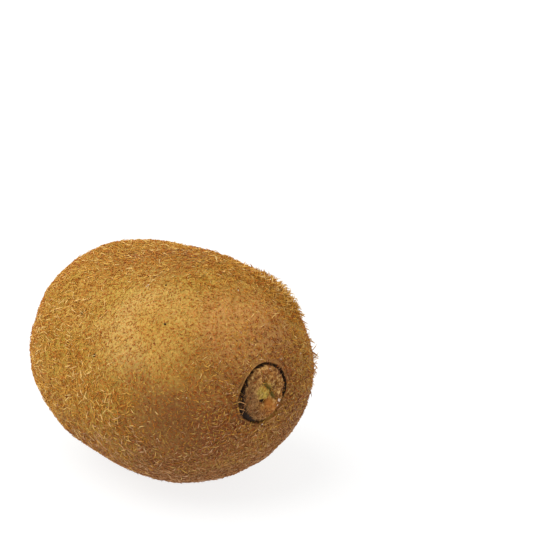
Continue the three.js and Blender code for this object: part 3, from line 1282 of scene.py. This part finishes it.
# For the tousled hairs this paler tone is partly painted light, against the shade among them.
long_tone += PALER_WHERE_UPRIGHT * (standing + tousled) - DARKER_AT_BLOSSOM * round_blossom
dull = np.maximum(low_down(places), LONG_DULL_ROUND_SCAR * round_scar)
dull = np.maximum(dull, DULL_AT_BLOSSOM * round_blossom)
long_across = tone_place(long_tone, random.random(count) < dull)
print("pale long hairs:", int(sunlit.sum()), "rusty ones:", int(rusty.sum()))

# %% [markdown]
# ## The hairs' material
#
# A dry hair is dead plant fibre, as cotton or straw is: IOR about 1.53, and dull to satin.
# It is painted a darker rust brown at the root, as shade down in the coat, and stays gold at the tip,
# where the light comes through.
# The tone is read across the UV map, and the root's shade up it. The map's left half runs
# from rust to bright gold, and its right half from brown to a pale, duller tan.

# %% Hair material
HAIR_ROUGHNESS = 0.55
HAIR_IOR = 1.53
HAIR_GLOSS = 0.12

hair_material, hair_shader = new_material("dry_kiwi_hair", HAIR_ROUGHNESS, HAIR_IOR, HAIR_GLOSS)
hair_map = add_node(hair_material, "ShaderNodeUVMap", uv_map=UV_MAP)
hair_axes = add_node(hair_material, "ShaderNodeSeparateXYZ", {"Vector": hair_map.outputs["UV"]})
hair_colour = add_node(
    hair_material,
    "ShaderNodeValToRGB",
    {"Fac": hair_axes.outputs["X"]},
    stops=[
        (0.0, "#8A4018"),
        (1.0, "#DEB284"),
        (0.11, "#BA6624"),
        (0.23, "#C8842C"),
        (0.33, "#DCA644"),
        (0.42, "#E8B85A"),
        (0.495, "#F6CE82"),
        (0.505, "#6C3A20"),
        (0.6, "#8E522C"),
        (0.73, "#B47844"),
        (0.85, "#C8925C"),
    ],
)
# Painted shade: the lower half of each hair is darkened towards the root, as shade down in the coat.
root_shade = add_node(
    hair_material,
    "ShaderNodeMapRange",
    {"Value": hair_axes.outputs["Y"], "From Min": 0.0, "From Max": 0.5, "To Min": 0.4, "To Max": 0.0},
)
hair_tint = add_node(
    hair_material,
    "ShaderNodeMix",
    {0: root_shade.outputs["Result"], 6: hair_colour.outputs["Color"], 7: linear("#98602E")},
    data_type="RGBA",
)
hair_material.node_tree.links.new(hair_tint.outputs[2], hair_shader.inputs["Base Color"])
print("hair tones:", len(hair_colour.color_ramp.elements))

# %% [markdown]
# ## All the hairs
#
# The hairs are joined in five pieces, because one mesh of that many faces would be slow to edit.
# The stubble comes first, then the long hairs over it. The roots are dealt out in turn,
# so each piece covers the whole fruit evenly.

# %% Lay the stubble and the long hairs
HAIR_SINK = 0.06
stubble_lie = (*stubble_roots, stubble_turn, stubble_tip, stubble_size, stubble_across)
long_lie = (*long_roots, long_turn, long_tip, long_size, long_across)
hair_faces = {}
for name, pieces, kinds, lie, first_seed in (
    ("stubble", 2, [STUBBLE], stubble_lie, 51),
    ("long_hairs", 3, LONG_KINDS, long_lie, 61),
):
    for number in range(pieces):
        roots_here, facing_here, turn, tip, size, tones = [row[number::pieces] for row in lie]
        piece = lay_threads(
            f"{name}_{number + 1}",
            kinds,
            (roots_here, facing_here),
            turn,
            tip,
            size,
            tones,
            sink=HAIR_SINK,
            seed=first_seed + number,
        )
        piece.data.materials.append(hair_material)
        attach(piece, "root")
        hair_faces[piece.name] = len(piece.data.polygons)
print("hair faces:", hair_faces)

# %% [markdown]
# ## Fibres on the scar
#
# The cork of the cap is frayed: thin dry fibres lie on it, grey on one side and tan on the other.
# They are copies of the long hairs, made smaller. About half of them lie along the cap's edge,
# and the rest lie anywhere and every way. Each starts at the nearest point of the skin.

# %% Fibres on the scar
FIBRE_COUNT = 620
FIBRES_REACH = 1.35
EDGE_FIBRES = 0.55
EDGE_RING = (0.6, 0.95)
INNER_RING = 0.85
FIBRE_SWAY = 0.5
FIBRE_TONES = (0.4, 0.24)
FIBRE_TIP = (0, 16)
FIBRE_SIZES = (0.4, 0.9)
FIBRE_SINK = 0.04
GREYER_LEFT_OF = -1


def on_cap_surface(across, up):
    """The point of the skin nearest to a place on the cap, and the way that the skin faces there."""
    flat = np.stack([across, up], 1)
    nearest = [int(np.argmin(((cap_places - place) ** 2).sum(1))) for place in flat]
    return points[cap_rows[nearest]], skin_normals[cap_rows[nearest]]


across, up, share, angle, near = scar_place(points)
cap_rows = np.nonzero((near > 0) & (share < FIBRES_REACH))[0]
cap_places = np.stack([across[cap_rows], up[cap_rows]], 1)
random = np.random.default_rng(71)
fibre_angle = random.uniform(0, 2 * math.pi, FIBRE_COUNT)
edge_bound = random.random(FIBRE_COUNT) < EDGE_FIBRES
on_the_edge = random.uniform(*EDGE_RING, FIBRE_COUNT)
anywhere = INNER_RING * np.sqrt(random.random(FIBRE_COUNT))
fibre_share = np.where(edge_bound, on_the_edge, anywhere)
fibre_across = SCAR_RADIUS * fibre_share * np.cos(fibre_angle)
fibre_up = SCAR_RADIUS * fibre_share * np.sin(fibre_angle) * HEIGHT_TO_WIDTH
fibre_roots = on_cap_surface(fibre_across, fibre_up)
round_the_rim = fibre_angle + math.pi / 2 * np.where(random.random(FIBRE_COUNT) < 0.5, 1, -1)
fibre_turn = np.where(edge_bound, round_the_rim, random.uniform(0, 2 * math.pi, FIBRE_COUNT))
fibre_turn += random.normal(0, FIBRE_SWAY, FIBRE_COUNT)
greyer = (fibre_across < GREYER_LEFT_OF) | edge_bound
fibre_tone = random.normal(*FIBRE_TONES, FIBRE_COUNT)
fibres = lay_threads(
    "scar_fibres",
    LONG_KINDS,
    fibre_roots,
    math.pi / 2 - fibre_turn,
    np.radians(random.uniform(*FIBRE_TIP, FIBRE_COUNT)),
    random.uniform(*FIBRE_SIZES, FIBRE_COUNT),
    tone_place(fibre_tone, greyer),
    sink=FIBRE_SINK,
    seed=72,
    lean=(0, 0, 1),
)
fibres.data.materials.append(hair_material)
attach(fibres, "root")
print("fibres:", FIBRE_COUNT)

# %% [markdown]
# A few pale strands still tie the cap to the lip, across the crack. Each has its two ends
# given in the scar's own coordinates, and one bowed thread is turned and scaled
# to reach from one to the other. All start on one level, a little behind the scar's middle.

# %% Strands across the crack
STRANDS = [
    ((-6.5, -0.2), (-4.5, -1.6)),
    ((-6.6, -1.8), (-4.8, -2.7)),
    ((-3.75, -3.95), (-1.85, -5.2)),
    ((-1.85, -5.2), (0.1, -5.5)),
    ((1.1, -6.4), (2.6, -5.9)),
    ((3.5, -4.6), (5.3, -3.8)),
    ((0.3, 4.4), (1.7, 5.1)),
    ((1.0, 5.0), (2.4, 4.4)),
]
STRAND_TONE = 0.7
STRAND_DEPTH = 0.4
STRAND_TIP = math.radians(4)
STRAND_WIDTH = 0.15
STRAND_STEPS = [(0.5, 0.08, 0.14, 1.0), (0.5, 0.0, 0.0, 0.9), (0.4, -0.09, -0.1, 0.6)]
SCAR_FACING = np.array([math.cos(TIP_UP), 0, math.sin(TIP_UP)])
SCAR_UP = np.array([-math.sin(TIP_UP), 0, math.cos(TIP_UP)])
SIDEWAYS = np.array([0, 1.0, 0])

starts = np.array([start for start, _ in STRANDS])
reaches = np.array([end for _, end in STRANDS]) - starts
strand_roots = POLE + starts[:, :1] * SIDEWAYS + starts[:, 1:] * SCAR_UP
strand_roots -= STRAND_DEPTH * SCAR_FACING
strand_kind = thread_arrays(model_thread("strand", STRAND_WIDTH, STRAND_STEPS))
strands = lay_threads(
    "crack_strands",
    [strand_kind],
    (strand_roots, np.broadcast_to(SCAR_FACING, strand_roots.shape)),
    np.arctan2(-reaches[:, 0], reaches[:, 1]),
    np.full(len(STRANDS), STRAND_TIP),
    np.linalg.norm(reaches, axis=1) / strand_kind[0][:, 0].max(),
    np.full(len(STRANDS), tone_place(STRAND_TONE, 1.0)),
    sink=0.0,
    seed=73,
    lean=(0, 0, 1),
)
strands.data.materials.append(hair_material)
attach(strands, "root")
print("strands:", len(STRANDS))

# %% [markdown]
# ## The dry styles at the blossom end
#
# The flower's styles stay on the fruit as a small brush of stiff, dark, dead bristles.
# One bristle is modelled as a thicker thread of five sides, with a bowed stem
# and a blunt, flared tip. A second one bows the other way.

# %% Model the bristles
STYLE_WIDTH = 0.5
STYLE_SIDES = 5
STYLE_STEPS = [
    (0.7, 0.0, 0.02, 0.85),
    (0.7, 0.05, 0.1, 0.85),
    (0.7, 0.1, 0.2, 0.85),
    (0.5, 0.08, 0.24, 1.0),
    (0.25, 0.02, 0.12, 1.35),
    (0.16, 0.0, 0.06, 0.6),
]
STYLE_BOWS = (-1.0, 1.2)

style_kinds = []
for number, side in enumerate(STYLE_BOWS):
    style = model_thread(f"style_{number}", STYLE_WIDTH, bowed(STYLE_STEPS, side), STYLE_SIDES)
    style_kinds.append(thread_arrays(style))
print("faces per bristle:", [len(kind[1]) for kind in style_kinds])

# %% [markdown]
# They stand in whorls on a hard pad in the dimple, flatter on the outside and steeper
# in the middle, as the flower carried them. No two have the same length or lean.
# The dimple faces the other way from the scar, so its outward direction is the scar's, reversed.

# %% Set the bristles in whorls
BLOSSOM = np.array([-33.12, 0.06, 23.72])
OUTWARD = -SCAR_FACING
PAD_UPWARDS = np.cross(OUTWARD, SIDEWAYS)
ROOT_HEIGHT = 0.45
WHORL_SWAY = 0.12
LIFT_SPREAD = 5
STYLE_SIZES = (0.85, 1.15)
STYLE_TONES = (0.4, 0.2)
WHORLS = [
    {"count": 20, "radius": 1.0, "size": 1.05, "lift": 12},
    {"count": 13, "radius": 0.8, "size": 0.78, "lift": 34},
    {"count": 7, "radius": 0.4, "size": 0.6, "lift": 62},
]


def ring_on_pad(radius, angles, height):
    """Places on a ring round the pad's middle, at a height above the dimple's floor."""
    ring = np.cos(angles)[:, None] * SIDEWAYS + np.sin(angles)[:, None] * PAD_UPWARDS
    return BLOSSOM + ring * radius + OUTWARD * height


random = np.random.default_rng(81)
whorl_places, whorl_turn, whorl_tip, whorl_size = [], [], [], []
for whorl in WHORLS:
    angles = 2 * math.pi * np.arange(whorl["count"]) / whorl["count"]
    angles += random.normal(0, WHORL_SWAY, whorl["count"])
    whorl_places.append(ring_on_pad(whorl["radius"], angles, ROOT_HEIGHT))
    whorl_turn.append(angles)
    whorl_tip.append(np.radians(whorl["lift"] + random.normal(0, LIFT_SPREAD, whorl["count"])))
    whorl_size.append(whorl["size"] * random.uniform(*STYLE_SIZES, whorl["count"]))
whorl_places = np.concatenate(whorl_places)
style_count = len(whorl_places)
styles = lay_threads(
    "style_bristles",
    style_kinds,
    (whorl_places, np.broadcast_to(OUTWARD, whorl_places.shape)),
    np.concatenate(whorl_turn),
    np.concatenate(whorl_tip),
    np.concatenate(whorl_size),
    np.clip(random.normal(*STYLE_TONES, style_count), 0, 1),
    sink=0.0,
    seed=82,
    lean=(0, 1, 0),
)
print("styles:", style_count, "faces:", len(styles.data.polygons))

# %% [markdown]
# The pad is what is left of the flower's middle: a hard, wrinkled button. It starts as a disc,
# which is extruded upwards three times, wider at first and then drawn in. Subdivision rounds
# it, and a ripple wrinkles it. At the end it is turned to face out of the dimple.

# %% The pad under the styles
PAD_RADIUS = 1.7
PAD_HEIGHT = 0.9
PAD_SIDES = 24
PAD_FOOT = 0.8
PAD_STEPS = ((0.35, 1.25), (0.4, 0.78), (0.2, 0.55))
PAD_LEVELS = 2
WRINKLE_HEIGHT = 0.08
WRINKLE_WAVELENGTH = 1.1

bpy.ops.object.select_all(action="DESELECT")
bpy.ops.mesh.primitive_circle_add(
    vertices=PAD_SIDES, radius=PAD_RADIUS * PAD_FOOT * MM, fill_type="NGON"
)
pad = bpy.context.object
pad.name = "style_pad"
bpy.ops.object.mode_set(mode="EDIT")
bpy.ops.mesh.select_all(action="SELECT")
for rise_share, widen in PAD_STEPS:
    rise_step = (0, 0, rise_share * PAD_HEIGHT * MM)
    bpy.ops.mesh.extrude_region_move(TRANSFORM_OT_translate={"value": rise_step})
    bpy.ops.transform.resize(value=(widen, widen, 1))
bpy.ops.mesh.select_all(action="SELECT")
bpy.ops.mesh.normals_make_consistent(inside=False)
bpy.ops.object.mode_set(mode="OBJECT")
rounding = pad.modifiers.new("rounder", "SUBSURF")
rounding.levels = PAD_LEVELS
rounding.render_levels = PAD_LEVELS
bpy.ops.object.modifier_apply(modifier=rounding.name)
pad_points = read_points(pad.data)
pad_points[:, 2] += WRINKLE_HEIGHT * ripple(pad_points, WRINKLE_WAVELENGTH, seed=83)
write_points(pad.data, BLOSSOM + pad_points @ np.array([SIDEWAYS, PAD_UPWARDS, OUTWARD]))
bpy.ops.object.shade_smooth()
print("pad faces:", len(pad.data.polygons))

# %% [markdown]
# The styles died months ago: they are dark brown to black, dry and a little waxy.
# Their tone is read from the same kind of UV map as the hairs, and the tips are paler.

# %% Style material
STYLE_ROUGHNESS = 0.6
DEAD_TISSUE_IOR = 1.5
STYLE_GLOSS = 0.3

style_material, style_shader = new_material(
    "dead_flower_style", STYLE_ROUGHNESS, DEAD_TISSUE_IOR, STYLE_GLOSS
)
style_map = add_node(style_material, "ShaderNodeUVMap", uv_map=UV_MAP)
style_axes = add_node(style_material, "ShaderNodeSeparateXYZ", {"Vector": style_map.outputs["UV"]})
style_colour = add_node(
    style_material,
    "ShaderNodeValToRGB",
    {"Fac": style_axes.outputs["X"]},
    stops=[(0.0, "#160E08"), (1.0, "#6E4A26"), (0.5, "#2C1B10")],
)
tip_share = add_node(
    style_material,
    "ShaderNodeMapRange",
    {"Value": style_axes.outputs["Y"], "From Min": 0.6, "From Max": 1.0, "To Min": 0.0, "To Max": 0.6},
)
style_tint = add_node(
    style_material,
    "ShaderNodeMix",
    {0: tip_share.outputs["Result"], 6: style_colour.outputs["Color"], 7: linear("#7A5A38")},
    data_type="RGBA",
)
style_material.node_tree.links.new(style_tint.outputs[2], style_shader.inputs["Base Color"])
styles.data.materials.append(style_material)
print("bristle tones:", len(style_colour.color_ramp.elements))

# %% [markdown]
# The pad is duller and more wrinkled than the bristles. Its wrinkles are 0.6 mm apart,
# so the noise has a scale of 1000 / 0.6 per metre.

# %% Pad material
PAD_ROUGHNESS = 0.75
PAD_WRINKLE_MM = 0.6
PAD_BUMP_MM = 0.15

pad_material, pad_shader = new_material(
    "dried_flower_pad", PAD_ROUGHNESS, DEAD_TISSUE_IOR, STYLE_GLOSS
)
pad_place = add_node(pad_material, "ShaderNodeTexCoord").outputs["Object"]
pad_noise = add_node(
    pad_material,
    "ShaderNodeTexNoise",
    {"Vector": pad_place, "Scale": 1 / (PAD_WRINKLE_MM * MM), "Detail": 4.0},
)
pad_colour = add_node(
    pad_material,
    "ShaderNodeValToRGB",
    {"Fac": pad_noise.outputs["Fac"]},
    stops=[(0.35, "#1C120A"), (0.7, "#5C3E22")],
)
pad_bump = add_node(
    pad_material,
    "ShaderNodeBump",
    {"Strength": 0.8, "Distance": PAD_BUMP_MM * MM, "Height": pad_noise.outputs["Fac"]},
)
pad_material.node_tree.links.new(pad_colour.outputs["Color"], pad_shader.inputs["Base Color"])
pad_material.node_tree.links.new(pad_bump.outputs["Normal"], pad_shader.inputs["Normal"])
pad.data.materials.append(pad_material)
for piece in (styles, pad):
    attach(piece, "root")
    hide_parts("dried_styles")
print("style materials are on")

# %% [markdown]
# The stamens round the styles have mostly crumbled. What is left is short straw,
# lying every way in the dimple, highest in its middle. It is the long hair again, mostly bigger.

# %% Straw scraps among the styles
STRAW_COUNT = 90
STRAW_RADII = (0.6, 3.2)
STRAW_HEIGHT = 0.55
STRAW_FALL = 0.22
STRAW_TIP = (5, 50)
STRAW_SIZES = (0.9, 1.7)
STRAW_TONES = (0.8, 0.15)

random = np.random.default_rng(91)
straw_angle = random.uniform(0, 2 * math.pi, STRAW_COUNT)
straw_radius = random.uniform(*STRAW_RADII, STRAW_COUNT)[:, None]
straw_places = ring_on_pad(straw_radius, straw_angle, STRAW_HEIGHT - STRAW_FALL * straw_radius)
straw = lay_threads(
    "stamen_straw",
    LONG_KINDS,
    (straw_places, np.broadcast_to(OUTWARD, straw_places.shape)),
    random.uniform(0, 2 * math.pi, STRAW_COUNT),
    np.radians(random.uniform(*STRAW_TIP, STRAW_COUNT)),
    random.uniform(*STRAW_SIZES, STRAW_COUNT),
    tone_place(random.normal(*STRAW_TONES, STRAW_COUNT), 1.0),
    sink=0.0,
    seed=92,
    lean=(0, 1, 0),
)
straw.data.materials.append(hair_material)
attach(straw, "root")
print("straw scraps:", STRAW_COUNT)

# %% [markdown]
# ## Crumbs and specks
#
# A fruit from a crate isn't clean. A pale crumb of dry tissue sits on the scar,
# and a few pale and dark specks are caught in the hair.
# One crumb is modelled from a small ball, flattened and roughened. It is about a millimetre
# in radius, so that each copy's size is its own radius.

# %% Model a crumb
CRUMB_RADIUS = 1.0
CRUMB_SHAPE = (1.0, 0.72, 0.5)
CRUMB_ROUGHNESS = 0.22

bpy.ops.object.select_all(action="DESELECT")
bpy.ops.mesh.primitive_ico_sphere_add(subdivisions=2, radius=CRUMB_RADIUS * MM)
crumb = bpy.context.object
bpy.ops.object.mode_set(mode="EDIT")
bpy.ops.mesh.select_all(action="SELECT")
bpy.ops.transform.resize(value=CRUMB_SHAPE)
bpy.ops.transform.vertex_random(offset=CRUMB_ROUGHNESS * MM, seed=7)
bpy.ops.object.mode_set(mode="OBJECT")
CRUMB = thread_arrays(crumb)
print("faces of a crumb:", len(CRUMB[1]))

# %% [markdown]
# Each speck has a place and a radius in millimetres, read off what can be seen, with a few more
# on the hidden side. It lies at the nearest point of the skin. Pale ones are dried sap and
# tissue, and dark ones are soil. Their colours follow a fine grain, so they keep no UV map.

# %% Crumbs and specks
SPECK_ROUGHNESS = 0.8
SPECK_GRAIN_MM = 0.3
SPECK_HEIGHT = 0.1
SPECK_LEAN = (0.3, 0.2, 1)
PALE_SPECKS = [
    ((35.0, 3.8, 24.1), 0.55),
    ((35.0, 3.3, 23.2), 0.22),
    ((10.4, -11.6, 46.4), 0.2),
    ((10.9, -12.2, 46.0), 0.14),
    ((24.0, 1.7, 45.9), 0.17),
    ((31.5, 12.4, 31.3), 0.15),
    ((33.9, 5.3, 32.4), 0.17),
    ((34.5, -0.2, 19.5), 0.2),
    ((29.7, -16.4, 28.0), 0.12),
    ((34.9, 1.8, 31.5), 0.13),
    ((34.5, 4.3, 20.6), 0.16),
    ((32.6, 9.1, 32.6), 0.13),
    ((-20.0, 12.0, 38.0), 0.18),
    ((2.0, 25.0, 20.0), 0.16),
    ((14.0, 20.0, 34.0), 0.14),
]
DARK_SPECKS = [
    ((-2.0, -20.3, 38.3), 0.42),
    ((8.2, -24.2, 32.6), 0.42),
    ((21.2, -15.2, 41.2), 0.3),
    ((13.8, -9.5, 47.1), 0.22),
    ((-14.0, 18.0, 36.0), 0.28),
    ((20.0, 18.0, 34.0), 0.26),
    ((-8.0, 2.0, 48.0), 0.22),
]
for name, specks, material, darker, paler in (
    ("pale_crumbs", PALE_SPECKS, "dry_tissue", "#D8BCA0", "#F6E6D4"),
    ("dark_specks", DARK_SPECKS, "soil_speck", "#1E140C", "#4A3218"),
):
    random = np.random.default_rng(len(specks))
    wanted = np.array([place for place, _ in specks])
    rows = [int(np.argmin(((points - place) ** 2).sum(1))) for place in wanted]
    piece = lay_threads(
        name,
        [CRUMB],
        (points[rows] + skin_normals[rows] * SPECK_HEIGHT, skin_normals[rows]),
        random.uniform(0, 2 * math.pi, len(specks)),
        np.zeros(len(specks)),
        np.array([size for _, size in specks]),
        np.zeros(len(specks)),
        sink=0.0,
        seed=len(specks),
        lean=SPECK_LEAN,
    )
    piece.data.uv_layers.remove(piece.data.uv_layers[UV_MAP])
    speck_material, speck_shader = new_material(
        material, SPECK_ROUGHNESS, DEAD_TISSUE_IOR, SKIN_GLOSS
    )
    speck_place = add_node(speck_material, "ShaderNodeTexCoord").outputs["Object"]
    speck_noise = add_node(
        speck_material,
        "ShaderNodeTexNoise",
        {"Vector": speck_place, "Scale": 1 / (SPECK_GRAIN_MM * MM), "Detail": 2.0},
    )
    speck_colour = add_node(
        speck_material,
        "ShaderNodeValToRGB",
        {"Fac": speck_noise.outputs["Fac"]},
        stops=[(0.35, darker), (0.65, paler)],
    )
    speck_material.node_tree.links.new(
        speck_colour.outputs["Color"], speck_shader.inputs["Base Color"]
    )
    piece.data.materials.append(speck_material)
    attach(piece, "root")
    print(name, len(piece.data.polygons), "faces")
